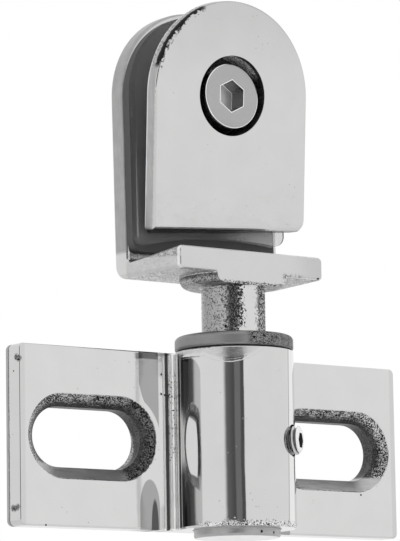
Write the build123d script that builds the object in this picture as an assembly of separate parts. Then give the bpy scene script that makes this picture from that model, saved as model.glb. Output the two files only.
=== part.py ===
from build123d import *
import os
from math import radians, sqrt, tan

# Glass door hinge: a slotted wall plate with a barrel, and a glass clamp on a pin.
# Millimetres. The origin is the middle of the wall plate's back face. +X runs along
# the plate, +Y goes into the wall and +Z is up, along the pin.

# Wall plate
plate_width = 98.0
plate_height = 37.0
plate_thickness = 5.6
plate_corner = 1.2              # radius of the plate's four corners
plate_front_edge = 0.4
plate_back_edge = 1.1
slot_spacing = 62.0             # middle to middle
slot_length = 26.8              # through part of the slot, end to end
slot_height = 12.4
slot_mouth = 2.6                # how far the tapered mouth stands out all round
slot_mouth_depth = 2.4

# Barrel and pin
pin_axis_y = -12.8
barrel_radius = 12.4
barrel_edge = 0.5
barrel_fillet = 1.0             # cast fillet between the barrel and the plate
pin_radius = 9.0
running_gap = 0.05
pin_overhang = 1.8              # the pin's end stands out under the barrel
shoulder_gap = 0.2
shoulder_height = 3.0
shoulder_edge = 1.1
neck_radius = 6.7
neck_fillet = 0.5
pin_end_edge = 0.6

# Boss and foot of the clamp bracket
boss_bottom = 32.0
boss_radius = 11.4
boss_draft = 0.5
boss_edge = 1.7
foot_bottom = 34.1
foot_top_front = 39.1
foot_top_heel = 37.45
foot_front_y = -19.6
foot_half_width_front = 18.6
foot_corner = 1.0               # ends of the foot, seen from the front
foot_front_edge = 0.6
heel_radius = 3.0
heel_inner_radius = 0.8

# Jaws
jaw_radius = 20.0
screw_height = 72.9
back_jaw_inner_y = -2.56
back_jaw_thickness = 4.4
back_jaw_lean = 1.35            # degrees, leaning back as cast
front_jaw_thickness = 2.8
front_jaw_drop = 28.3           # from the screw down to the front face's lower edge
front_jaw_rough_left = 1.0      # how far the unground underside hangs lower at the back
front_jaw_rough_right = 0.3
front_jaw_corner_left = 1.6
front_jaw_corner_right = 2.8
front_jaw_edge = 0.8
front_jaw_y = -13.8             # middle of the front face
front_jaw_lean = 8.5            # degrees, the loose jaw's top leans forward
front_jaw_turn = 3.8            # degrees, turned on its screw
cup_radius = 8.5
cup_depth = 6.3
cup_wall = 1.5
cup_floor = 1.6
cup_hole_radius = 5.4
cup_edge = 0.9

# Gaskets
gasket_thickness = 1.95
gasket_clearance = 0.05
gasket_hole_radius = 11.4
gasket_hole_rise = 0.9
gasket_corner = 2.4
back_gasket_half_width = 18.5
back_gasket_shift = -1.1
back_gasket_drop = 33.4
front_gasket_half_width = 19.2
front_gasket_shift = -0.45
front_gasket_drop_left = 32.8
front_gasket_drop_middle = 29.6
front_gasket_drop_right = 30.2

# Screws
head_radius = 7.0
head_height = 5.0
head_sunk = 0.1
head_edge = 0.5
head_socket = 6.0               # across flats
head_socket_depth = 2.9
head_socket_turn = 3.0
clamp_thread_radius = 4.0
clamp_screw_length = 20.0
thread_end = 0.6
set_radius = 3.0
set_length = 8.0
set_socket = 3.0
set_socket_depth = 3.0
set_angle = -53.5               # direction of the set screw, from +X
set_reach = 14.05               # from the pin's axis to the outer end
set_height = -0.5
set_mouth_radius = 3.35
set_mouth_from = 10.8           # from the pin's axis to the mouth's floor

half_plate = plate_height / 2
pin_axis = Pos(0, pin_axis_y, 0)
pin_bottom = -half_plate - pin_overhang
shoulder_bottom = half_plate + shoulder_gap
shoulder_top = shoulder_bottom + shoulder_height
groove_radius = set_reach - set_length - 0.1
groove_height = 2 * set_radius + 0.6
back_jaw_outer_y = back_jaw_inner_y + back_jaw_thickness
set_line = Pos(0, pin_axis_y, set_height) * Rot(0, 0, set_angle) * Rot(0, 90, 0)
front_jaw_place = Pos(0, front_jaw_y, screw_height) * Rot(front_jaw_lean, 0, 0) * Rot(0, -front_jaw_turn, 0)
gasket_place = (Pos(0, back_jaw_inner_y, foot_top_heel) * Rot(-back_jaw_lean, 0, 0)
                * Pos(0, 0, screw_height - foot_top_heel))


def facing(y):
    """A drawing plane across the hinge at depth y, seen from the front."""
    return Plane(origin=(0, y, 0), x_dir=(1, 0, 0), z_dir=(0, -1, 0))


def cylinder(radius, bottom, top):
    """An upright cylinder on the pin's axis."""
    return pin_axis * Pos(0, 0, bottom) * Cylinder(
        radius, top - bottom, align=(Align.CENTER, Align.CENTER, Align.MIN))


def rod(radius, front, back, z=0.0):
    """A cylinder along Y, from depth front to depth back."""
    return extrude(facing(back) * Pos(0, z) * Circle(radius), back - front)


def half_round(radius, drop):
    """A jaw's outline about its screw: a half circle over straight sides."""
    top = ThreePointArc((-radius, 0), (0, radius), (radius, 0))
    rest = Polyline((radius, 0), (radius, -drop), (-radius, -drop), (-radius, 0))
    return make_face(top + rest)


def make_wall_plate():
    leaf = Pos(0, -plate_thickness / 2) * Rectangle(plate_width, plate_thickness)
    section = (leaf + Pos(0, pin_axis_y) * Circle(barrel_radius)).faces()[0]
    seam_x = sqrt(barrel_radius ** 2 - (pin_axis_y + plate_thickness) ** 2)
    for side in (-1, 1):
        seam = section.vertices().sort_by_distance((side * seam_x, -plate_thickness))[0]
        section = fillet(seam, barrel_fillet)
    casting = extrude(section, half_plate, both=True)
    casting = fillet(casting.edges().filter_by(Axis.Y), plate_corner)
    back = casting.faces().sort_by(Axis.Y)[-1]
    casting = fillet(back.edges(), plate_back_edge)
    in_front = casting.edges().filter_by(lambda edge: edge.center().Y < 0.01 - plate_thickness)
    rims = in_front.filter_by(
        lambda edge: abs(edge.center().Z) > 1 or abs(edge.center().X) > barrel_radius + barrel_fillet)
    casting = fillet(rims, plate_front_edge)
    casting -= cylinder(pin_radius + running_gap, -half_plate - 1, half_plate + 1)
    for side in (-1, 1):
        middle = Pos(side * slot_spacing / 2, 0)
        through = SlotOverall(slot_length, slot_height)
        mouth = SlotOverall(slot_length + 2 * slot_mouth, slot_height + 2 * slot_mouth)
        casting -= extrude(facing(1) * middle * through, plate_thickness + 2)
        casting -= loft([facing(-plate_thickness) * middle * mouth,
                         facing(-plate_thickness + slot_mouth_depth) * middle * through])
    casting -= set_line * Pos(0, 0, barrel_radius / 2) * Cylinder(
        set_radius + running_gap, barrel_radius, align=(Align.CENTER, Align.CENTER, Align.MIN))
    casting -= set_line * Pos(0, 0, set_mouth_from) * Cylinder(
        set_mouth_radius, barrel_radius, align=(Align.CENTER, Align.CENTER, Align.MIN))
    return casting


def make_clamp_bracket():
    # Everything round about the pin's axis: pin, groove, shoulder, neck and boss.
    turned = make_face(Polyline(
        (0, pin_bottom), (pin_radius, pin_bottom),
        (pin_radius, set_height - groove_height / 2), (groove_radius, set_height - groove_height / 2),
        (groove_radius, set_height + groove_height / 2), (pin_radius, set_height + groove_height / 2),
        (pin_radius, shoulder_bottom), (barrel_radius, shoulder_bottom),
        (barrel_radius, shoulder_top), (neck_radius, shoulder_top),
        (neck_radius, boss_bottom), (boss_radius - boss_draft, boss_bottom),
        (boss_radius, foot_bottom + 1), (0, foot_bottom + 1), (0, pin_bottom)))
    for radius, height, rounding in (
            (pin_radius, pin_bottom, pin_end_edge),
            (barrel_radius, shoulder_bottom, barrel_edge),
            (barrel_radius, shoulder_top, shoulder_edge),
            (neck_radius, shoulder_top, neck_fillet),
            (neck_radius, boss_bottom, neck_fillet),
            (boss_radius - boss_draft, boss_bottom, boss_edge)):
        turned = fillet(turned.vertices().sort_by_distance((radius, height))[0], rounding)
    round_part = pin_axis * revolve(Plane.XZ * turned, Axis.Z)

    # Foot, heel and back jaw share one section, seen from the side.
    jaw_rise = screw_height + jaw_radius + 2 - foot_top_heel
    lean_run = jaw_rise * tan(radians(back_jaw_lean))
    outer_foot_y = back_jaw_outer_y - (foot_top_heel - foot_bottom) * tan(radians(back_jaw_lean))
    section = make_face(Polyline(
        (foot_front_y, foot_bottom), (foot_front_y, foot_top_front),
        (back_jaw_inner_y, foot_top_heel), (back_jaw_inner_y + lean_run, foot_top_heel + jaw_rise),
        (back_jaw_outer_y + lean_run, foot_top_heel + jaw_rise),
        (outer_foot_y, foot_bottom), (foot_front_y, foot_bottom)))
    heel = section.vertices().sort_by_distance((outer_foot_y, foot_bottom))[0]
    section = fillet(heel, heel_radius)
    inner_heel = section.vertices().sort_by_distance((back_jaw_inner_y, foot_top_heel))[0]
    section = fillet(inner_heel, heel_inner_radius)
    angle = extrude(Plane.YZ * section, jaw_radius, both=True)

    from_front = Pos(0, screw_height) * half_round(jaw_radius, screw_height)
    angle &= extrude(facing(back_jaw_outer_y + 5) * from_front, 40)
    from_above = make_face(Polyline(
        (-foot_half_width_front, foot_front_y), (foot_half_width_front, foot_front_y),
        (jaw_radius, back_jaw_inner_y), (jaw_radius, back_jaw_outer_y + 5),
        (-jaw_radius, back_jaw_outer_y + 5), (-jaw_radius, back_jaw_inner_y),
        (-foot_half_width_front, foot_front_y)))
    angle &= extrude(from_above, foot_top_heel + jaw_rise)
    ends = angle.edges().filter_by(
        lambda edge: abs(edge.center().X) > foot_half_width_front and edge.center().Z < foot_top_front
        and edge.center().Y < back_jaw_inner_y and edge.length > 10)
    angle = fillet(ends, foot_corner)
    foot_front = angle.faces().sort_by(Axis.Y)[0]
    angle = fillet(foot_front.edges(), foot_front_edge)

    # The boss is cut off flush with the front of the foot.
    in_front = Pos(0, foot_front_y - 10, (boss_bottom + foot_bottom) / 2) * Box(60, 20, 8)
    casting = angle + (round_part - in_front)
    return casting - rod(clamp_thread_radius + running_gap, -6, 8, z=screw_height)


def make_front_jaw():
    left = (-jaw_radius, -front_jaw_drop - front_jaw_rough_left)
    right = (jaw_radius, -front_jaw_drop - front_jaw_rough_right)
    top = ThreePointArc((-jaw_radius, 0), (0, jaw_radius), (jaw_radius, 0))
    outline = make_face(top + Polyline((jaw_radius, 0), right, left, (-jaw_radius, 0)))
    outline = fillet(outline.vertices().sort_by_distance(left)[0], front_jaw_corner_left)
    outline = fillet(outline.vertices().sort_by_distance(right)[0], front_jaw_corner_right)
    jaw = extrude(facing(front_jaw_thickness) * outline, front_jaw_thickness)

    # The lower edge is ground back at the front and left lower behind.
    below = -front_jaw_drop - 10
    front = Polyline((-30, -front_jaw_drop), (30, -front_jaw_drop), (30, below), (-30, below), close=True)
    behind = Polyline((-30, left[1]), (30, right[1]), (30, below), (-30, below), close=True)
    jaw -= loft([facing(0) * make_face(front), facing(front_jaw_thickness) * make_face(behind)], ruled=True)
    jaw = fillet(jaw.faces().sort_by(Axis.Y)[0].edges(), front_jaw_edge)
    cup = rod(cup_radius + cup_wall, front_jaw_thickness / 2, cup_depth + cup_floor)
    cup = fillet(cup.faces().sort_by(Axis.Y)[-1].edges(), cup_edge)
    jaw += cup
    jaw -= rod(cup_radius, -1, cup_depth)
    jaw -= rod(cup_hole_radius, -1, cup_depth + cup_floor + 1)
    return front_jaw_place * jaw


def make_back_gasket():
    outline = half_round(back_gasket_half_width, back_gasket_drop)
    outline = fillet(outline.vertices().group_by(Axis.Y)[0], gasket_corner)
    pad = extrude(Pos(back_gasket_shift, 0, 0) * facing(-gasket_clearance) * outline, gasket_thickness)
    pad -= rod(gasket_hole_radius, -5, 5, z=gasket_hole_rise)
    return gasket_place * pad


def make_front_gasket():
    half_width = front_gasket_half_width
    top = ThreePointArc((-half_width, 0), (0, half_width), (half_width, 0))
    right = Line((half_width, 0), (half_width, -front_gasket_drop_right))
    bottom = ThreePointArc((half_width, -front_gasket_drop_right), (0, -front_gasket_drop_middle),
                           (-half_width, -front_gasket_drop_left))
    left = Line((-half_width, -front_gasket_drop_left), (-half_width, 0))
    pad = make_face(top + right + bottom + left)
    corners = pad.vertices().group_by(Axis.Y)
    pad = fillet(corners[0] + corners[1], gasket_corner)
    depth = -gasket_thickness - 2 * gasket_clearance
    pad = extrude(Pos(front_gasket_shift, 0, 0) * facing(depth) * pad, gasket_thickness)
    pad -= rod(gasket_hole_radius, -5, 5, z=gasket_hole_rise)
    return gasket_place * pad


def make_clamp_screw():
    top = front_jaw_y + head_sunk
    head = rod(head_radius, top, top + head_height)
    head = chamfer(head.faces().sort_by(Axis.Y)[0].edges(), head_edge)
    socket = RegularPolygon(head_socket / 2, 6, major_radius=False, rotation=90 - head_socket_turn)
    head -= extrude(facing(top + head_socket_depth) * socket, head_socket_depth + 1)
    shank = rod(clamp_thread_radius, top + head_height, top + head_height + clamp_screw_length)
    shank = chamfer(shank.faces().sort_by(Axis.Y)[-1].edges(), thread_end)
    return Pos(0, 0, screw_height) * (head + shank)


def make_set_screw():
    screw = Cylinder(set_radius, set_length, align=(Align.CENTER, Align.CENTER, Align.MAX))
    screw = chamfer(screw.edges().filter_by(GeomType.CIRCLE), thread_end)
    socket = RegularPolygon(set_socket / 2, 6, major_radius=False)
    screw -= extrude(Pos(0, 0, -set_socket_depth) * socket, set_socket_depth + 1)
    return set_line * Pos(0, 0, set_reach) * screw


parts = {
    "wall_plate": make_wall_plate(),
    "clamp_bracket": make_clamp_bracket(),
    "front_jaw": make_front_jaw(),
    "back_gasket": make_back_gasket(),
    "front_gasket": make_front_gasket(),
    "clamp_screw": make_clamp_screw(),
    "set_screw": make_set_screw(),
}

os.makedirs("parts", exist_ok=True)
for name, shape in parts.items():
    export_step(shape, f"parts/{name}.step")
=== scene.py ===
import math

import bmesh
import bpy
from mathutils import Matrix, Vector


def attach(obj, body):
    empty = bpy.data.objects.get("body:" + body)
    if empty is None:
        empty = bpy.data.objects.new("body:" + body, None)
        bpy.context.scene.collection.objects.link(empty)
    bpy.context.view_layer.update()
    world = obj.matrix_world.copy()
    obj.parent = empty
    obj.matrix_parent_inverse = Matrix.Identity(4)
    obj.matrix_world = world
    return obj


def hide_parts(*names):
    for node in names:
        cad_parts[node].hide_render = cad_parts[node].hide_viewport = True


bl_info = {
    "name": "Glass Door Hinge",
    "version": (1, 0, 0),
    "blender": (4, 5, 0),
    "location": "View3D > Sidebar > Glass Hinge",
    "description": "Dresses a cast glass door hinge with its finishes, threaded screws and studio",
    "category": "Object",
}

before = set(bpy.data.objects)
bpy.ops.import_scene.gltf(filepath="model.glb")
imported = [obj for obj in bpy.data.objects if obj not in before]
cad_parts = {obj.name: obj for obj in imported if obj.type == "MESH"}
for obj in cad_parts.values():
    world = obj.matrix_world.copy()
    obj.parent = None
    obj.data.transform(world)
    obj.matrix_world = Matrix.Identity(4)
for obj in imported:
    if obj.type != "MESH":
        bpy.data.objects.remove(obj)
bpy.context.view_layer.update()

# All sizes below are in millimetres unless they say otherwise.
MM = 0.001
PIN_Y = -12.8                   # the hinge pin's axis
BARREL_R = 12.4
BARREL_TOP = 18.5
SLOT_X = 31.0                   # middle of each slot
SLOT_R = 6.2
SLOT_STRAIGHT = 7.2             # half the straight part
SLOT_MOUTH = 2.6
LEAF_Y = -5.6                   # front face of the plate
PLATE_END = 49.0
FOOT_FRONT = -19.6
FOOT_UNDERSIDE = 34.1
NECK_R = 6.7
SCREW_Z = 72.9                  # the clamp screw's axis
HEAD_Y = -13.7                  # outer face of the clamp screw's head
HEAD_R = 7.0
HEAD_HEIGHT = 5.0
CLAMP_SHANK_END = 25.0          # from the head's face to the tip
CLAMP_THREAD_R = 4.0
CLAMP_THREAD_DEPTH = 0.72
CLAMP_SOCKET = 6.0              # across its flats
CLAMP_SOCKET_DEPTH = 4.2
CLAMP_SOCKET_TURN = -3.0        # degrees
FRONT_JAW_PLACE = (0.0, -13.8, SCREW_Z)
FRONT_JAW_LEAN = 8.5            # degrees
FRONT_JAW_TURN = 3.8            # degrees
SET_SCREW_ANGLE = -53.5         # degrees from +X
SET_SCREW_REACH = 14.05         # from the pin's axis to the screw's outer end
SET_SCREW_Z = -0.5
SET_SCREW_LENGTH = 8.0
SET_CHAMFER = 0.3
SET_THREAD_R = 3.0
SET_THREAD_DEPTH = 0.5
SET_SOCKET = 3.0                # across its flats
SET_SOCKET_DEPTH = 3.0

# How far grinding and polishing streaks are squeezed along each axis.
UPRIGHT = (2.0, 2.0, 0.3)
LINISHED = (3.0, 3.0, 0.25)

VIEW_TARGET = Vector((0.0, -12.8, 40.5)) * MM
VIEW_AZIMUTH = math.radians(-37.034)
VIEW_ELEVATION = math.radians(-8.738)
VIEW_ROLL = math.radians(1.026)
VIEW_DISTANCE = 0.739655        # metres
VIEW_LENS = 234.77
VIEW_SENSOR = 36.0
VIEW_SHIFT = (-0.0596, -0.0409)


def tone(level):
    """A display grey from 0 to 255 as linear lightness."""
    share = level / 255
    return share / 12.92 if share <= 0.04045 else ((share + 0.055) / 1.055) ** 2.4


def grey(level):
    """A plain grey as a colour."""
    return (tone(level),) * 3


class Value:
    """A number that varies over a surface, written into sums as if it were a plain number."""

    def __init__(self, shader, socket):
        self.shader = shader
        self.socket = socket

    def maths(self, operation, *operands):
        return self.shader.node("ShaderNodeMath", {"operation": operation}, *operands)

    def __add__(self, other):
        return self.maths("ADD", self, other)

    __radd__ = __add__

    def __sub__(self, other):
        return self.maths("SUBTRACT", self, other)

    def __rsub__(self, other):
        return self.maths("SUBTRACT", other, self)

    def __mul__(self, other):
        return self.maths("MULTIPLY", self, other)

    __rmul__ = __mul__

    def __truediv__(self, other):
        return self.maths("DIVIDE", self, other)

    def __neg__(self):
        return self * -1.0

    def __abs__(self):
        return self.maths("ABSOLUTE", self)

    def smaller(self, other):
        return self.maths("MINIMUM", self, other)

    def larger(self, other):
        return self.maths("MAXIMUM", self, other)

    def root(self):
        return self.maths("SQRT", self)

    def rise(self, low, high):
        """0 below low and 1 above high, with a smooth step between them."""
        return self.shader.node("ShaderNodeMapRange", {"interpolation_type": "SMOOTHSTEP"}, self, low, high)

    def fall(self, low, high):
        """1 below low and 0 above high, with a smooth step between them."""
        return 1 - self.rise(low, high)

    def between(self, low, high, edge):
        """1 from low to high, fading to 0 over edge on both sides."""
        return self.rise(low - edge, low) * self.fall(high, high + edge)


class Shader:
    """The nodes of one material or world."""

    def __init__(self, owner):
        owner.use_nodes = True
        self.tree = owner.node_tree
        self.tree.nodes.clear()

    def node(self, kind, settings, *inputs, output=0, **named):
        """Adds a node, makes its settings, then joins or sets its inputs."""
        made = self.tree.nodes.new(kind)
        for key, value in settings.items():
            setattr(made, key, value)
        pairs = list(enumerate(inputs)) + [(key.replace("_", " "), value) for key, value in named.items()]
        for key, value in pairs:
            if isinstance(value, Value):
                self.tree.links.new(value.socket, made.inputs[key])
            elif value is not None:
                made.inputs[key].default_value = value
        return Value(self, made.outputs[output]) if len(made.outputs) else made

    def place(self):
        """The point on the object, in millimetres."""
        metres = self.node("ShaderNodeTexCoord", {}, output="Object")
        return self.node("ShaderNodeVectorMath", {"operation": "SCALE"}, metres, Scale=1000.0)

    def axes(self, vector):
        split = self.tree.nodes.new("ShaderNodeSeparateXYZ")
        self.tree.links.new(vector.socket, split.inputs[0])
        return [Value(self, split.outputs[i]) for i in range(3)]

    def turned(self, point, centre, rotation):
        """A point seen from a centre, in axes turned by rotation."""
        return self.node("ShaderNodeMapping", {"vector_type": "TEXTURE"}, point, centre, rotation)

    def stretched(self, point, scale):
        return self.node("ShaderNodeVectorMath", {"operation": "MULTIPLY"}, point, scale)

    def noise(self, point, scale, detail=2.0, roughness=0.5):
        return self.node("ShaderNodeTexNoise", {}, point, Scale=scale, Detail=detail, Roughness=roughness)

    def cells(self, point, scale):
        """The distance from scattered points."""
        return self.node("ShaderNodeTexVoronoi", {}, point, Scale=scale)

    def distance(self, point, other):
        return self.node("ShaderNodeVectorMath", {"operation": "DISTANCE"}, point, other, output="Value")

    def bearing(self, across, outwards):
        """The angle in degrees away from outwards, towards across."""
        return self.node("ShaderNodeMath", {"operation": "ARCTAN2"}, across, outwards) * math.degrees(1.0)

    def length(self, across, along):
        return (across * across + along * along).root()

    def mix(self, factor, first, second):
        """A colour between two others."""
        made = self.tree.nodes.new("ShaderNodeMix")
        made.data_type = "RGBA"
        sockets = [s for s in made.inputs if s.type == "RGBA"]
        for socket, value in [(made.inputs["Factor"], factor), *zip(sockets, (first, second))]:
            if isinstance(value, Value):
                self.tree.links.new(value.socket, socket)
            elif socket.type == "RGBA":
                socket.default_value = (*value, 1.0)
            else:
                socket.default_value = value
        return Value(self, next(s for s in made.outputs if s.type == "RGBA"))

    def blend(self, factor, first, second):
        """A number between two others."""
        return first + factor * (second - first)

    def pits(self, point, centres, radius):
        """1 inside each of the small round pits, 0 outside them."""
        found = self.distance(point, centres[0])
        for centre in centres[1:]:
            found = found.smaller(self.distance(point, centre))
        ragged = self.noise(point, 3.0) * 0.4 * radius
        return (found + ragged).fall(0.6 * radius, 1.1 * radius)

    def relief(self, height):
        """The surface raised by a height in millimetres."""
        return self.node("ShaderNodeBump", {}, Strength=1.0, Distance=MM, Height=height)

    def finish(self, surface):
        out = self.tree.nodes.new("ShaderNodeOutputMaterial")
        self.tree.links.new(surface.socket, out.inputs["Surface"])


class Skin:
    """How one kind of surface looks: its lightness, its roughness and its relief in millimetres."""

    def __init__(self, shader, light, roughness, height):
        self.shader = shader
        self.light = light
        self.roughness = roughness
        self.height = height

    def under(self, mask, other):
        """This skin with another over it wherever mask is 1."""
        blend = self.shader.blend
        return Skin(
            self.shader, blend(mask, self.light, other.light),
            blend(mask, self.roughness, other.roughness), blend(mask, self.height, other.height))

    def metal(self):
        """The skin as bare metal."""
        colour = self.shader.mix(self.light, (0.0, 0.0, 0.0), (1.0, 1.0, 0.995))
        return self.shader.node(
            "ShaderNodeBsdfPrincipled", {},
            Base_Color=colour, Metallic=1.0, Roughness=self.roughness, Normal=self.shader.relief(self.height))


def new_material(name):
    """A new material, and the shader that fills it."""
    material = bpy.data.materials.new(name)
    return material, Shader(material)


def polished(shader, point, level):
    """A hand-held mirror polish: slow waves, faint clouding and a few pin holes."""
    waves = shader.noise(point, 0.05, 1.0)
    ripples = shader.noise(point, 0.35, 1.0)
    clouds = shader.noise(point, 0.16, 2.0)
    clusters = shader.noise(point, 0.23, 1.0)
    holes = shader.cells(point, 0.85).fall(0.05, 0.12) * clusters.rise(0.56, 0.66)
    light = tone(level) * (1.04 - 0.08 * clouds) * (1 - 0.45 * holes)
    roughness = bpy.context.scene.hinge_finish.polish_roughness + 0.05 * clouds + 0.25 * holes
    return Skin(shader, light, roughness, 0.11 * waves + 0.009 * ripples - 0.02 * holes)


def as_cast(shader, point, dark, pale, share=0.5, roughness=0.3):
    """The skin that the mould left: coarse grains, dark between them."""
    grain = shader.noise(point, 3.6, 3.0, 0.65)
    patches = shader.noise(point, 0.5, 2.0)
    level = grain + 0.22 * (patches - 0.5)
    middle = 0.5 + 0.18 * (0.5 - share)
    specks = level.rise(middle - 0.07, middle + 0.07)
    light = shader.blend(specks, tone(dark), tone(pale))
    return Skin(shader, light, roughness + 0.2 * grain, 0.07 * grain + 0.1 * patches)


def satin(shader, point, level, streaks):
    """Linished along one way: fine streaks, stretched by the three factors."""
    fine = shader.noise(shader.stretched(point, streaks), 1.0, 3.0, 0.6)
    broad = shader.noise(point, 0.4, 2.0)
    light = tone(level) * (0.62 + 0.5 * fine + 0.26 * broad)
    return Skin(shader, light, 0.24 + 0.16 * fine, 0.02 * fine + 0.03 * broad)


def matt(shader, point, level, roughness=0.45):
    """Turned once and gone dull."""
    fine = shader.noise(shader.stretched(point, (0.5, 0.5, 5.0)), 1.0, 2.0)
    broad = shader.noise(point, 0.6, 2.0)
    return Skin(
        shader, tone(level) * (0.8 + 0.22 * fine + 0.18 * broad), roughness, 0.015 * fine + 0.02 * broad)


def hole(shader, level=28):
    """The dark inside of a pit."""
    return Skin(shader, tone(level), 0.6, -0.25)


def slot_walls(shader, point, side, z, depth, ragged):
    """Inside a slot: coarse grains at the mouth, darker beyond, and a lower wall ground along it."""
    upper = as_cast(shader, point, 8, 226, 0.36)
    middle = as_cast(shader, point, 52, 92, 0.5)
    lower = satin(shader, point, 188, (0.25, 1.2, 3.0))
    throat = as_cast(shader, point, 70, 190, 0.5)
    upper.light = upper.light * (1 - 0.7 * side.fall(20.0, 24.0))
    walls = upper.under((depth + 1.8 * ragged).rise(0.9, 2.0), middle)
    inner = (depth - 0.25 * (z + 2.0)).rise(4.0, 4.8) * side.fall(19.6, 20.6)
    ground = z.fall(-5.8, -5.0) * (side + 2.0 * ragged).rise(21.5, 23.5)
    return walls.under(inner, throat).under(ground, lower)


def crease(shader, point, plate, reach):
    """Beside the barrel: a painted highlight strip, a dark seam painted as shade, and a fillet with a painted
    highlight and some grit.
    """
    x, y, z = shader.axes(point)
    side = abs(x)
    # Painted highlights beside the seam and on the fillet, and painted shade along the seam itself.
    painted_highlight = satin(shader, point, 252, UPRIGHT)
    flat = y.rise(LEAF_Y - 0.1, LEAF_Y - 0.05)
    plate = plate.under(side.between(12.8, 13.3, 0.06) * flat, painted_highlight)
    plate = plate.under(side.between(12.0, 12.7, 0.06) * flat, satin(shader, point, 84, UPRIGHT))
    fillet = reach.rise(BARREL_R + 0.01, BARREL_R + 0.04) * side.fall(12.0, 12.1)
    fillet_highlight = satin(shader, point, 240, UPRIGHT).under(y.rise(LEAF_Y - 0.4, LEAF_Y - 0.25), painted_highlight)
    plate = plate.under(fillet * y.fall(LEAF_Y - 0.02, LEAF_Y), fillet_highlight)
    grains = shader.noise(point, 2.6, 2.0).rise(0.60, 0.66)
    grit = grains * (side - 11.3).between(-0.6, 0.6, 0.2) * y.rise(-8.0, -7.5)
    return plate.under(grit * z.between(-4, 13, 2) * x.fall(0, 1), hole(shader, 40))


def plate_ends(shader, point, plate, side, y, ragged):
    """The plate's two ends: painted slightly darker, linished and painted in shade along the back edge with a
    dark painted line there, and two sunken pits in one of them.
    """
    end = side.rise(PLATE_END - 1.6, PLATE_END - 1.2)
    # Painted shade: the ends a little darker, the back edge darker still, with a dark painted line along it.
    plate.light = plate.light * (1 - 0.09 * end)
    back = y + 0.4 * ragged
    plate = plate.under(end * back.rise(-1.9, -1.5), satin(shader, point, 166, UPRIGHT))
    plate = plate.under(0.8 * end * back.between(-1.9, -1.65, 0.06), hole(shader, 96))
    sunken = shader.pits(point, [
        (-PLATE_END, -4.6, 15.6), (-PLATE_END, -5.3, 15.3), (-PLATE_END, -2.9, -14.9),
        (-PLATE_END, -3.8, -15.0), (-PLATE_END, -4.7, -14.8)], 1.0)
    return plate.under(sunken, as_cast(shader, point, 20, 150))


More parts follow.
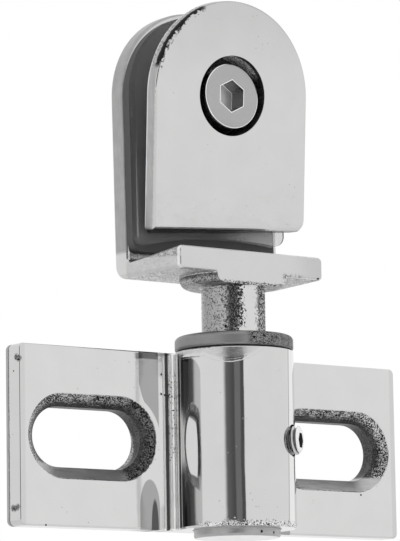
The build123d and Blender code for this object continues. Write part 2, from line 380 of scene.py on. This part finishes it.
def plate_finish():
    """The wall plate: polished outside, as cast in the slots, ragged round the barrel's lower rim."""
    material, shader = new_material("polished_plate")
    point = shader.place()
    x, y, z = shader.axes(point)
    side = abs(x)
    ragged = shader.noise(point, 1.7, 3.0) - 0.5
    straight = (abs(side - SLOT_X) - SLOT_STRAIGHT).larger(0.0)
    from_slot = shader.length(straight, z) - SLOT_R
    depth = y - LEAF_Y
    on_leaf = y.rise(-6.2, -5.8) * side.rise(11.9, 12.3)
    around = shader.bearing(x, PIN_Y - y)
    reach = shader.length(x, y - PIN_Y)
    on_barrel = (1 - on_leaf) * reach.rise(12.0, 12.2)

    # The wheel leaves the leaf slightly hollow beside the barrel, and the barrel and its collar are painted
    # into the leaf there as darker reflection patches.
    plate = polished(shader, point, 213)
    hollow = (20.0 - side).larger(0.0)
    bend = 0.019 + 0.0013 * (14.0 - abs(z)).larger(0.0)
    plate.height = plate.height + on_leaf * bend * hollow * hollow * hollow / (hollow + 0.7)
    outwards = (side - 17.8).larger(0.0)
    past_slot = from_slot - SLOT_MOUTH - 1.2 * outwards * outwards
    upper_reflection = side.between(14.5, 19.3, 0.15) * past_slot.rise(0.8, 1.1) * z.rise(2.0, 3.0)
    lower_reflection = shader.length((side - 16.95) * 0.4, (-14.0 - z).smaller(0.0) * 0.17).fall(0.96, 1.04)
    barrel_reflection = on_leaf * upper_reflection.larger(lower_reflection * z.fall(-3.0, -2.0))
    reflection_core = shader.length((side - 15.7) * 1.1, (z + 18.5) * 0.16).fall(0.9, 1.1) * barrel_reflection
    collar_reflection = z.rise(16.8, 17.1) * barrel_reflection
    plate.light = plate.light * (1 - 0.44 * barrel_reflection) * (1 - 0.6 * collar_reflection) * (1 - 0.75 * reflection_core)
    # On the barrel: a painted reflection band with a dark line beside it, a painted shadow band, and a slight
    # painted darkening all round.
    swung = around - 0.12 * z
    reflected_band = 0.22 * swung.between(26.5, 48.0, 0.5) - 0.4 * swung.between(24.7, 25.6, 0.4)
    shadow = around.between(-108.0, -96.5, 1.0) * abs(z).rise(4.0, 8.0)
    plate.light = plate.light * (1 + on_barrel * (reflected_band - 0.6 * shadow - 0.05))

    # The barrel's upper end is rolled off in a shallow lens above a fine ridge.
    swing = (around + 42.0) / 36.0
    lens = ((1 - swing * swing).larger(0.0) * 3.1).larger((-around).rise(52, 72) * 1.7)
    above = z - BARREL_TOP + lens + 0.25 * ragged
    ridge = (1 - above * above * 9.0).larger(0.0)
    plate.height = plate.height + on_barrel * (0.035 * ridge - 0.03 * above.larger(0.0) * above.larger(0.0))
    dull = satin(shader, point, 196, (0.6, 0.6, 2.0))
    plate = plate.under(on_barrel * above.rise(0.2, 0.9) * lens.rise(0.3, 1.2) * 0.75, dull)

    # Left as cast: the slots and the barrel's lower rim.
    fuzz = shader.blend(z.rise(-3.0, 1.0), 0.3, 2.2) * ragged
    mouth = (from_slot + fuzz).fall(2.5, 2.8) * (depth + 0.5 * ragged).rise(0.02, 0.2)
    plate = plate.under(mouth, slot_walls(shader, point, side, z, depth, ragged))
    burr = as_cast(shader, point, 20, 244, 0.7, 0.2)
    rim = (z + 3.0 * ragged).fall(-18.0, -17.2)
    plate = plate.under(on_barrel * rim * around.between(-70, 50, 12), burr)

    # The bore is dull, the back is ground flat, and a few small pits are left all over.
    # Beside the barrel: painted highlights, and a seam painted dark as shade.
    plate = crease(shader, point, plate, reach)
    plate = plate.under(reach.fall(9.2, 9.4), matt(shader, point, 150))
    plate = plate.under(y.rise(-0.1, -0.05), satin(shader, point, 190, (0.3, 3.0, 3.0)))
    plate = plate_ends(shader, point, plate, side, y, ragged)
    small = shader.pits(point, [
        (-42.8, LEAF_Y, -18.3), (-11.9, LEAF_Y, 9.5), (-12.8, LEAF_Y, 9.6), (-13.7, LEAF_Y, 9.8),
        (-13.6, LEAF_Y, 13.9), (-10.4, -6.0, 13.3), (39.0, LEAF_Y, -9.3), (-6.0, -23.7, -18.3),
        (-1.2, -25.1, -18.2), (-48.9, -3.6, 12.8), (3.2, -24.8, -17.9)], 0.3)
    plate = plate.under(small, hole(shader))
    shader.finish(plate.metal())
    return material


def bracket_finish():
    """The clamp bracket: polished foot and jaw, as cast below the foot and on the neck, matt collar."""
    material, shader = new_material("polished_bracket")
    point = shader.place()
    x, y, z = shader.axes(point)
    ragged = shader.noise(point, 1.7, 3.0) - 0.5
    fine = shader.noise(point, 4.2, 2.0, 0.6)
    around = shader.bearing(x, PIN_Y - y)
    reach = shader.length(x, y - PIN_Y)
    bracket = polished(shader, point, 206)

    # Jaw: its rim is only linished.
    upwards = (z - SCREW_Z).larger(0.0)
    rim = shader.length(x, upwards).rise(19.3, 19.7) * z.rise(39.0, 40.0)
    bracket = bracket.under(rim, satin(shader, point, 162, LINISHED))

    # Foot: as cast above and below, with a rough wedge along the top of each end.
    end = abs(x).rise(18.2, 18.5) * y.fall(-2.9, -2.2)
    bracket = bracket.under(end * z.fall(39.0, 40.0) * 0.7, satin(shader, point, 186, (2.0, 1.0, 2.0)))
    wedge = (z + 0.5 * ragged - 0.0777 * (y + 3.12)).rise(37.9, 38.1)
    bracket = bracket.under(end * z.fall(39.0, 39.4) * wedge, as_cast(shader, point, 120, 196, 0.6))
    upright = z.between(FOOT_UNDERSIDE, 39.3, 0.2)
    corner = y.rise(-19.5, -19.4) * (y + 0.3 * ragged).fall(-18.9, -18.7) * upright
    bracket = bracket.under(corner, satin(shader, point, 226, (2.0, 2.0, 1.0)))
    flush = y.fall(FOOT_FRONT + 0.08, FOOT_FRONT + 0.15)
    top = (z + 0.0968 * (y + 2.56) + 0.1 * ragged).rise(37.3, 37.42) * y.between(-19.2, -2.6, 0.2)
    bracket = bracket.under(top * abs(x).fall(18.9, 19.2), as_cast(shader, point, 70, 190))
    below = (z + 0.3 * ragged).fall(FOOT_UNDERSIDE, FOOT_UNDERSIDE + 0.2) * z.rise(31.8, 31.9)
    pale = as_cast(shader, point, 112, 230, 0.58, 0.34)
    lip = flush * (z + 0.8 * ragged).fall(32.3, 32.7).larger(
        0.8 * (z + 0.8 * ragged).fall(34.4, 35.2) * x.between(8.6, 12.6, 1.2))
    bracket = bracket.under(below * (1 - flush), pale)
    clouded = flush * z.rise(33.0, 34.0) * (x + 3.0 * ragged).rise(9.0, 17.0)
    bracket.light = bracket.light * (1 - 0.12 * clouded)
    boss = z.between(31.8, 33.9, 0.1) * reach.between(7.3, 11.5, 0.1) * (1 - flush)
    bracket = bracket.under(boss, as_cast(shader, point, 70, 190, 0.55))
    # Painted shade on the boss's upper left, under the foot.
    bracket.light = bracket.light * (1 - 0.6 * boss * z.rise(32.8, 33.7) * x.fall(0.0, 4.0))
    bracket = bracket.under(lip, as_cast(shader, point, 40, 210))

    # Neck: a rough casting with one ragged ground strip at the front.
    neck = z.between(21.7, 31.9, 0.05) * reach.fall(NECK_R + 0.55, NECK_R + 0.65)
    coarse = shader.noise(point, 2.4, 2.0, 0.6)
    specks = coarse.fall(0.41, 0.48) * shader.noise(point, 0.8, 2.0).rise(0.25, 0.5)
    dimmed = (1 - 0.7 * specks) * (0.62 + 0.5 * fine) * (1 - 0.2 * around.fall(-100.0, -60.0))
    rough = Skin(shader, tone(182) * dimmed, 0.11 + 0.1 * specks, 0.014 * fine - 0.02 * specks)
    turned = around + 14 * ragged + 44 * (coarse - 0.5)
    strip = turned.between(-20.0, 9.5, 2.0).larger(turned.between(-28.0, 9.5, 3.0) * z.fall(22.8, 23.8))
    fringe = around.between(-40.0, 40.0, 12.0) * coarse.fall(0.49, 0.54)
    skin = rough.under(fringe, hole(shader, 64)).under(strip, polished(shader, point, 212))
    bracket = bracket.under(neck, skin)

    # Collar and pin: matt, with a patch of pin holes at the front.
    foot_of_neck = z.between(21.6, 22.2, 0.05) * reach.rise(NECK_R + 0.6, NECK_R + 0.7)
    collar = z.between(18.6, 21.7, 0.05).larger(foot_of_neck)
    pin_holes = z.between(19.0, 21.8, 0.3) * around.between(-20.0, 38.0, 6.0) * fine.fall(0.45, 0.49)
    bracket = bracket.under(collar, matt(shader, point, 142).under(pin_holes, hole(shader, 48)))
    pin = z.fall(18.4, 18.5)
    flat_end = z.fall(-20.28, -20.2)
    bracket = bracket.under(pin, matt(shader, point, 172, 0.32))
    bracket = bracket.under(flat_end, satin(shader, point, 236, (0.4, 3.0, 1.0)))
    marks = shader.pits(point, [
        (-9.9, -20.2, 21.9), (-3.7, -24.6, 20.2), (-1.5, -25.1, 20.7),
        (-18.97, -15.2, FOOT_UNDERSIDE), (17.4, FOOT_FRONT, FOOT_UNDERSIDE + 0.3),
        (-5.2, -17.0, 23.2), (-0.5, -21.8, -19.4), (3.0, -21.3, -19.5)], 0.4)
    bracket = bracket.under(marks, hole(shader))
    shader.finish(bracket.metal())
    return material


def jaw_finish():
    """The loose front jaw: polished face, linished edges, a dark reflection painted along its upper left rim.
    """
    material, shader = new_material("polished_front_jaw")
    point = shader.place()
    lean = Matrix.Rotation(math.radians(FRONT_JAW_LEAN), 3, "X")
    turn = Matrix.Rotation(math.radians(-FRONT_JAW_TURN), 3, "Y")
    local = shader.turned(point, FRONT_JAW_PLACE, (lean @ turn).to_euler())
    across, depth, up = shader.axes(local)
    ragged = shader.noise(point, 1.5, 3.0) - 0.5
    reach = shader.length(across, up)
    around = shader.bearing(across, up)
    jaw = polished(shader, point, 208)
    outer = shader.length(across, up.larger(0.0)).rise(19.35, 19.8) * across.rise(0.0, 6.0)
    # Painted shade: the face darker towards the top and along its upper right rim.
    jaw.light = jaw.light * (1 - 0.09 * up.rise(2.0, 18.0)) * (1 - 0.3 * outer)
    edge = (depth + 0.25 * ragged).rise(0.12, 0.45) * reach.rise(10.5, 11.0)
    jaw = jaw.under(edge, satin(shader, point, 169, LINISHED))
    # A painted highlight along the back edge.
    jaw = jaw.under(edge * depth.rise(2.4, 2.55), satin(shader, point, 216, LINISHED))
    # Painted reflection: the edge along the underside is dark where its rounding reflects.
    under_edge = edge * up.fall(-28.6, -28.2)
    jaw = jaw.under(under_edge, satin(shader, point, 112, (0.3, 3.0, 3.0)))

    # A ragged dark band painted along the upper left rim as the reflection in its rounded edge, with coarse
    # skin behind it.
    upper_left = around.between(-72.0, -24.0, 4.0)
    dark_reflection = (depth + 1.1 * ragged).between(0.2, 1.15, 0.15) * reach.rise(18.9, 19.1)
    behind = (depth + 0.9 * ragged).rise(1.0, 1.2) * shader.noise(point, 2.2, 2.0).fall(0.44, 0.5)
    jaw = jaw.under(upper_left * behind * reach.rise(18.9, 19.1), as_cast(shader, point, 60, 220))
    jaw = jaw.under(upper_left * dark_reflection, hole(shader, 44))

    # The cup: painted dark inside as shade, with one lighter patch on its upper wall.
    cup = reach.fall(8.7, 8.8) * depth.rise(0.02, 0.1)
    # The dark skin inside the cup is painted shade.
    scale = as_cast(shader, point, 30, 104, 0.4, 0.6)
    upper_wall = around.between(-34.0, 54.0, 14.0) * reach.rise(8.3, 8.45)
    lighter = upper_wall * (depth + 0.4 * ragged).rise(1.0, 1.6)
    jaw = jaw.under(cup, scale.under(lighter, as_cast(shader, point, 120, 250, 0.6, 0.8)))
    shader.finish(jaw.metal())
    return material


def rubber_finish():
    """Dark grey rubber with a fine grain."""
    material, shader = new_material("black_rubber_pad")
    point = shader.place()
    grain = shader.noise(point, 2.4, 3.0)
    cloud = shader.noise(point, 0.3, 2.0)
    colour = shader.mix(0.5 * grain + 0.5 * cloud, grey(58), grey(78))
    shader.finish(shader.node(
        "ShaderNodeBsdfPrincipled", {},
        Base_Color=colour, Roughness=0.5 + 0.2 * grain, Normal=shader.relief(0.03 * grain + 0.05 * cloud)))
    return material


def clear_pad_finish():
    """Clear soft plastic: it shows the rubber behind it, is painted lighter towards its right-hand end as the
    light it takes in there, and has a dark outline painted round that end.
    """
    material, shader = new_material("clear_pad")
    point = shader.place()
    x, y, z = shader.axes(point)
    grain = shader.noise(point, 0.8, 2.0)
    # The pad is painted lighter towards the right.
    lit = x.rise(0.0, 12.5)
    free = x.rise(16.6, 17.6)
    rim = shader.length(x + 0.45, (z - SCREW_Z).larger(0.0)).rise(18.9, 19.05) * (1 - free)
    front = y.fall(-6.1, -5.9)
    # A dark outline is painted round the right-hand end.
    corner = shader.length((x - 16.35).larger(0.0), (45.15 - z).larger(0.0))
    outline = corner.rise(1.95, 2.2) * x.rise(15.5, 17.5) * front
    level = shader.blend(outline, shader.blend(free, 0.5 + 0.3 * lit, 0.12), 0.05)
    cover = 0.1 + 0.28 * lit - 0.16 * free + 0.55 * outline
    shader.finish(shader.node(
        "ShaderNodeBsdfPrincipled", {},
        Base_Color=shader.mix(level + 0.06 * grain, (0.0, 0.0, 0.0), (1.0, 1.0, 1.0)),
        Roughness=0.2 + 0.1 * grain, Normal=shader.relief(0.04 * grain),
        Alpha=cover * (1 - 0.8 * rim * (1 - front)) + 0.2 * rim * front))
    return material


def screw_steel(shader, point, level):
    """Plain screw steel, faintly grained."""
    grain = shader.noise(point, 2.6, 3.0)
    broad = shader.noise(point, 0.4, 2.0)
    return Skin(
        shader, tone(level) * (0.9 + 0.12 * grain + 0.08 * broad), 0.2 + 0.1 * grain,
        0.004 * grain + 0.01 * broad)


def from_hexagon(across, up, across_flats, turn):
    """The distance outside a hexagon with two of its flats across the turned up axis."""
    flats = [
        abs(up * math.cos(math.radians(angle)) + across * math.sin(math.radians(angle)))
        for angle in (turn, turn + 60, turn + 120)]
    return flats[0].larger(flats[1]).larger(flats[2]) - across_flats / 2


def clamp_screw_finish():
    """Satin head with painted highlights on its edges, and a socket with walls painted darker as shade and a
    floor painted white as lit.
    """
    material, shader = new_material("clamp_screw_steel")
    point = shader.place()
    x, y, z = shader.axes(point)
    up = z - SCREW_Z
    steel = screw_steel(shader, point, 172)
    face = y.fall(HEAD_Y + 0.03, HEAD_Y + 0.06)
    outside = from_hexagon(up, x, CLAMP_SOCKET, CLAMP_SOCKET_TURN)
    socket = outside.fall(0.0, 0.02) * y.rise(HEAD_Y + 0.05, HEAD_Y + 0.2)
    painted_highlight = Skin(shader, tone(246), 0.12, 0.0)
    bottom = HEAD_Y + CLAMP_SOCKET_DEPTH
    # The socket's walls are painted darker as shade and its floor painted white as lit.
    walls = screw_steel(shader, point, 124)
    walls = walls.under(y.rise(bottom - 0.2, bottom - 0.1), Skin(shader, tone(255), 0.5, 0.0))
    steel = steel.under(socket, walls)
    # Painted highlights round the socket's rim and the head's rounded edge.
    steel = steel.under(face * outside.fall(0.13, 0.16), painted_highlight)
    rounded = shader.length(x, up).rise(HEAD_R - 0.3, HEAD_R - 0.26) * y.fall(HEAD_Y + 0.5, HEAD_Y + 0.55)
    steel = steel.under(rounded, painted_highlight)
    shader.finish(steel.metal())
    return material


def set_screw_finish():
    """Bright outer end and crests, with the roots and the part inside the barrel painted darker as shade, and
    a socket painted black as shade.
    """
    material, shader = new_material("set_screw_steel")
    point = shader.place()
    x, y, z = shader.axes(point)
    cosine = math.cos(math.radians(SET_SCREW_ANGLE))
    sine = math.sin(math.radians(SET_SCREW_ANGLE))
    along = x * cosine + (y - PIN_Y) * sine
    across = y * cosine - PIN_Y * cosine - x * sine
    up = z - SET_SCREW_Z
    off = shader.length(across, up)
    steel = screw_steel(shader, point, 206)
    # Painted shade: darker inside the barrel and in the thread's roots.
    steel = steel.under(along.fall(12.2, 12.6), screw_steel(shader, point, 110))
    steel = steel.under(off.fall(2.6, 2.8), screw_steel(shader, point, 120))
    steel = steel.under(along.rise(13.72, 13.76), Skin(shader, tone(238), 0.16, 0.0))
    # The socket is painted black as shade.
    socket = from_hexagon(across, up, SET_SOCKET, 0.0).fall(0.0, 0.03)
    steel = steel.under(socket, Skin(shader, tone(28), 0.6, 0.0))
    shader.finish(steel.metal())
    return material


class FinishSettings(bpy.types.PropertyGroup):
    """Gloss of the hinge's metal."""

    polish_roughness: bpy.props.FloatProperty(
        name="Polish Roughness", description="Lowest roughness of the mirror polish",
        subtype="FACTOR", min=0.0, max=1.0, default=0.04)


class ThreadSettings(bpy.types.PropertyGroup):
    """Sizes of the screws' threads."""

    clamp_pitch: bpy.props.FloatProperty(
        name="Clamp Screw Pitch", description="Distance between the clamp screw's ridges",
        subtype="DISTANCE", unit="LENGTH", default=1.25 * MM)
    set_pitch: bpy.props.FloatProperty(
        name="Set Screw Pitch", description="Distance between the set screw's ridges",
        subtype="DISTANCE", unit="LENGTH", default=1.0 * MM)
    thread_steps: bpy.props.IntProperty(
        name="Thread Steps", description="Steps in one turn of a thread", min=12, max=96, default=48)


def dress(node, material):
    """Gives a CAD node its material."""
    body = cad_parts[node]
    body.data.materials.clear()
    body.data.materials.append(material)


class HINGE_OT_castings(bpy.types.Operator):
    """Finish the wall plate, the clamp bracket and the front jaw"""

    bl_idname = "hinge.castings"
    bl_label = "Castings"

    def execute(self, context):
        dress("wall_plate", plate_finish())
        dress("clamp_bracket", bracket_finish())
        dress("front_jaw", jaw_finish())
        return {"FINISHED"}


class HINGE_OT_pads(bpy.types.Operator):
    """Finish the two pads between the jaws"""

    bl_idname = "hinge.pads"
    bl_label = "Pads"

    def execute(self, context):
        dress("back_gasket", rubber_finish())
        dress("front_gasket", clear_pad_finish())
        return {"FINISHED"}


def threaded_tube(shape, radius, pitch, depth, low, high, steps):
    """Winds one thread ridge along Z and cuts both ends square. Returns the two cut rims."""
    root = radius - depth
    profile = [(root, 0.0), (root, 0.125), (radius, 0.5), (radius, 0.625), (root, 1.0)]
    start = low - 1.5 * pitch
    dots = [shape.verts.new((r, 0.0, start + share * pitch)) for r, share in profile]
    edges = [shape.edges.new(pair) for pair in zip(dots, dots[1:])]
    turns = math.ceil((high - low) / pitch) + 3
    bmesh.ops.spin(
        shape, geom=dots + edges, cent=(0, 0, 0), axis=(0, 0, 1),
        dvec=(0, 0, pitch / steps), angle=turns * 2 * math.pi, steps=turns * steps)
    bmesh.ops.remove_doubles(shape, verts=shape.verts, dist=pitch / 200)
    rims = []
    for height, outwards in ((low, -1), (high, 1)):
        everything = shape.verts[:] + shape.edges[:] + shape.faces[:]
        cut = bmesh.ops.bisect_plane(
            shape, geom=everything, plane_co=(0, 0, height), plane_no=(0, 0, outwards), clear_outer=True)
        rims.append([part for part in cut["geom_cut"] if isinstance(part, bmesh.types.BMEdge)])
    return rims


def once(parts):
    """Each part once, in the order found."""
    return list(dict.fromkeys(parts))


def rim_verts(edges):
    """The corners of a rim."""
    return once(vert for edge in edges for vert in edge.verts)


def rim_edges(verts):
    """The edges that meet at a rim's corners."""
    return once(edge for vert in verts for edge in vert.link_edges)


def extrude_rim(shape, edges):
    """Adds a band of faces along a rim, with no width yet. Returns its free edges."""
    band = bmesh.ops.extrude_edge_only(shape, edges=edges)["geom"]
    return [part for part in band if isinstance(part, bmesh.types.BMEdge) and part.is_boundary]


def taper(shape, edges, share):
    """Draws a rim in towards the axis, as the chamfer on a screw's end."""
    bmesh.ops.scale(shape, verts=rim_verts(edges), vec=(share, share, 1.0))


def hexagon(shape, across_flats, turn):
    """An open six-sided wire round the axis."""
    corner = across_flats / math.sqrt(3)
    made = bmesh.ops.create_circle(shape, cap_ends=False, segments=6, radius=corner)
    spin = Matrix.Rotation(turn, 3, "Z")
    bmesh.ops.rotate(shape, verts=made["verts"], cent=(0, 0, 0), matrix=spin)
    return rim_edges(made["verts"])


def sink_socket(shape, rim, across_flats, depth, turn):
    """Closes a rim with a ring round a hexagon socket."""
    wire = hexagon(shape, across_flats, turn)
    bmesh.ops.bridge_loops(shape, edges=rim + wire)
    bottom = extrude_rim(shape, wire)
    bmesh.ops.translate(shape, verts=rim_verts(bottom), vec=(0, 0, -depth))
    bmesh.ops.edgeloop_fill(shape, edges=bottom)


def add_piece(name, shape, material, placed, body, node):
    """Turns a finished shape into a piece that stands for a CAD node."""
    bmesh.ops.transform(shape, matrix=placed, verts=shape.verts)
    bmesh.ops.recalc_face_normals(shape, faces=shape.faces)
    mesh = bpy.data.meshes.new(name)
    shape.to_mesh(mesh)
    shape.free()
    mesh.materials.append(material)
    for face in mesh.polygons:
        face.use_smooth = True
    mesh.set_sharp_from_angle(angle=math.radians(35))
    piece = bpy.data.objects.new(name, mesh)
    bpy.context.scene.collection.objects.link(piece)
    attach(piece, body)
    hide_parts(node)


class HINGE_OT_clamp_screw(bpy.types.Operator):
    """Cut the clamp screw with its head, socket and thread"""

    bl_idname = "hinge.clamp_screw"
    bl_label = "Clamp Screw"

    def execute(self, context):
        threads = context.scene.hinge_threads
        head = HEAD_HEIGHT * MM
        shape = bmesh.new()
        tip, top = threaded_tube(
            shape, CLAMP_THREAD_R * MM, threads.clamp_pitch, CLAMP_THREAD_DEPTH * MM,
            -CLAMP_SHANK_END * MM, -head, threads.thread_steps)
        taper(shape, tip, 0.86)
        bmesh.ops.edgeloop_fill(shape, edges=tip)
        outer = bmesh.ops.create_circle(shape, cap_ends=False, segments=96, radius=HEAD_R * MM)
        ring = rim_edges(outer["verts"])
        bmesh.ops.translate(shape, verts=outer["verts"], vec=(0, 0, -head))
        bmesh.ops.bridge_loops(shape, edges=top + ring)
        for height, radius in ((-0.5 * MM, HEAD_R), (-0.14 * MM, HEAD_R - 0.14), (0.0, HEAD_R - 0.5)):
            ring = extrude_rim(shape, ring)
            verts = rim_verts(ring)
            here = verts[0].co
            share = radius * MM / math.hypot(here.x, here.y)
            bmesh.ops.scale(shape, verts=verts, vec=(share, share, 1.0))
            bmesh.ops.translate(shape, verts=verts, vec=(0, 0, height - here.z))
        sink_socket(
            shape, ring, CLAMP_SOCKET * MM, CLAMP_SOCKET_DEPTH * MM, math.radians(CLAMP_SOCKET_TURN))
        face = Vector((0, HEAD_Y, SCREW_Z)) * MM
        outwards = Matrix.Translation(face) @ Matrix.Rotation(math.pi / 2, 4, "X")
        add_piece(
            "clamp_screw_threaded", shape, clamp_screw_finish(), outwards,
            "screw", "clamp_screw")
        return {"FINISHED"}


class HINGE_OT_set_screw(bpy.types.Operator):
    """Cut the set screw with its socket and thread"""

    bl_idname = "hinge.set_screw"
    bl_label = "Set Screw"

    def execute(self, context):
        threads = context.scene.hinge_threads
        shape = bmesh.new()
        tip, top = threaded_tube(
            shape, SET_THREAD_R * MM, threads.set_pitch, SET_THREAD_DEPTH * MM,
            -SET_SCREW_LENGTH * MM, -SET_CHAMFER * MM, threads.thread_steps)
        taper(shape, tip, 0.82)
        bmesh.ops.edgeloop_fill(shape, edges=tip)
        ring = extrude_rim(shape, top)
        taper(shape, ring, 0.9)
        bmesh.ops.translate(shape, verts=rim_verts(ring), vec=(0, 0, SET_CHAMFER * MM))
        sink_socket(shape, ring, SET_SOCKET * MM, SET_SOCKET_DEPTH * MM, 0.0)
        centre = Vector((0, PIN_Y, SET_SCREW_Z)) * MM
        aim = Matrix.Rotation(math.radians(SET_SCREW_ANGLE), 4, "Z") @ Matrix.Rotation(math.pi / 2, 4, "Y")
        outwards = Matrix.Translation(centre) @ aim @ Matrix.Translation((0, 0, SET_SCREW_REACH * MM))
        add_piece(
            "set_screw_threaded", shape, set_screw_finish(), outwards,
            "set_screw", "set_screw")
        return {"FINISHED"}


def view_axes():
    """The camera's right, up and backward directions."""
    back = Vector((
        math.sin(VIEW_AZIMUTH) * math.cos(VIEW_ELEVATION),
        -math.cos(VIEW_AZIMUTH) * math.cos(VIEW_ELEVATION),
        math.sin(VIEW_ELEVATION)))
    right = Vector((math.cos(VIEW_AZIMUTH), math.sin(VIEW_AZIMUTH), 0.0))
    up = back.cross(right)
    leaned_right = right * math.cos(VIEW_ROLL) - up * math.sin(VIEW_ROLL)
    leaned_up = up * math.cos(VIEW_ROLL) + right * math.sin(VIEW_ROLL)
    return leaned_right, leaned_up, back


def add_camera():
    """A long lens, looking up at the hinge from its left."""
    data = bpy.data.cameras.new("studio_camera")
    data.sensor_width = VIEW_SENSOR
    data.lens = VIEW_LENS
    data.shift_x, data.shift_y = VIEW_SHIFT
    camera = bpy.data.objects.new("studio_camera", data)
    bpy.context.scene.collection.objects.link(camera)
    right, up, back = view_axes()
    turn = Matrix((right, up, back)).transposed().to_4x4()
    camera.matrix_world = Matrix.Translation(VIEW_TARGET + back * VIEW_DISTANCE) @ turn
    bpy.context.scene.camera = camera


def studio_world():
    """White all round, with the dark gap that the camera looks through and something paler inside it."""
    world = bpy.data.worlds.new("studio")
    bpy.context.scene.world = world
    shader = Shader(world)
    direction = shader.node("ShaderNodeTexCoord", {}, output="Generated")
    x, y, z = shader.axes(direction)
    camera = VIEW_TARGET + view_axes()[2] * VIEW_DISTANCE
    flat = Vector((camera.x, camera.y)).normalized()
    sideways = shader.bearing(flat.x * y - flat.y * x, flat.x * x + flat.y * y)
    gap = sideways.rise(-24.0, -16.0) * sideways.fall(16.2, 17.2)
    inside = sideways.between(0.0, 8.5, 2.5)
    tall = z.rise(-0.08, 0.0) * z.fall(0.32, 0.72)
    left = shader.mix(sideways.rise(-18.0, -2.0), grey(112), grey(88))
    dark = shader.mix(inside, left, grey(127))
    tent = shader.mix(gap * tall, (1.0, 1.0, 1.0), dark)
    seen = shader.node("ShaderNodeLightPath", {}, output="Is Camera Ray")
    colour = shader.mix(seen, tent, (1.0, 1.0, 1.0))
    light = shader.node("ShaderNodeBackground", {}, colour, 1.0)
    out = shader.tree.nodes.new("ShaderNodeOutputWorld")
    shader.tree.links.new(light.socket, out.inputs["Surface"])


def add_floor(height):
    """A plain pale floor, well below the hinge."""
    mesh = bpy.data.meshes.new("floor")
    shape = bmesh.new()
    bmesh.ops.create_grid(shape, x_segments=1, y_segments=1, size=2.0)
    bmesh.ops.translate(shape, verts=shape.verts, vec=(0.0, 0.0, height))
    shape.to_mesh(mesh)
    shape.free()
    floor = bpy.data.objects.new("floor", mesh)
    bpy.context.scene.collection.objects.link(floor)
    material, shader = new_material("pale_floor")
    grain = shader.noise(shader.place(), 0.02)
    shader.finish(shader.node(
        "ShaderNodeBsdfPrincipled", {},
        Base_Color=shader.mix(grain, grey(244), grey(248)), Roughness=0.9))
    mesh.materials.append(material)


class HINGE_OT_stage(bpy.types.Operator):
    """Set up the camera, the white studio and the floor"""

    bl_idname = "hinge.stage"
    bl_label = "Stage"

    def execute(self, context):
        add_camera()
        studio_world()
        add_floor(context.scene.hinge_stage.floor_height)
        context.scene.view_settings.view_transform = "Standard"
        return {"FINISHED"}


class StageSettings(bpy.types.PropertyGroup):
    """Sizes of the studio."""

    floor_height: bpy.props.FloatProperty(
        name="Floor Height", description="Height of the floor below the wall plate's middle",
        subtype="DISTANCE", unit="LENGTH", default=-0.15)


class HINGE_PT_panel(bpy.types.Panel):
    """Buttons for each group of pieces"""

    bl_label = "Glass Hinge"
    bl_idname = "HINGE_PT_panel"
    bl_space_type = "VIEW_3D"
    bl_region_type = "UI"
    bl_category = "Glass Hinge"

    def draw(self, context):
        for operator in OPERATORS:
            self.layout.operator(operator.bl_idname)


OPERATORS = (HINGE_OT_castings, HINGE_OT_pads, HINGE_OT_clamp_screw, HINGE_OT_set_screw, HINGE_OT_stage)
SETTINGS = {"hinge_finish": FinishSettings, "hinge_threads": ThreadSettings, "hinge_stage": StageSettings}
CLASSES = (*SETTINGS.values(), *OPERATORS, HINGE_PT_panel)


def register():
    for kind in CLASSES:
        bpy.utils.register_class(kind)
    for name, kind in SETTINGS.items():
        setattr(bpy.types.Scene, name, bpy.props.PointerProperty(type=kind))


def unregister():
    for name in SETTINGS:
        delattr(bpy.types.Scene, name)
    for kind in reversed(CLASSES):
        bpy.utils.unregister_class(kind)


def main():
    """Registers the add-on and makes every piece."""
    register()
    bpy.ops.hinge.castings()
    bpy.ops.hinge.pads()
    bpy.ops.hinge.clamp_screw()
    bpy.ops.hinge.set_screw()
    bpy.ops.hinge.stage()


if __name__ == "__main__":
    main()
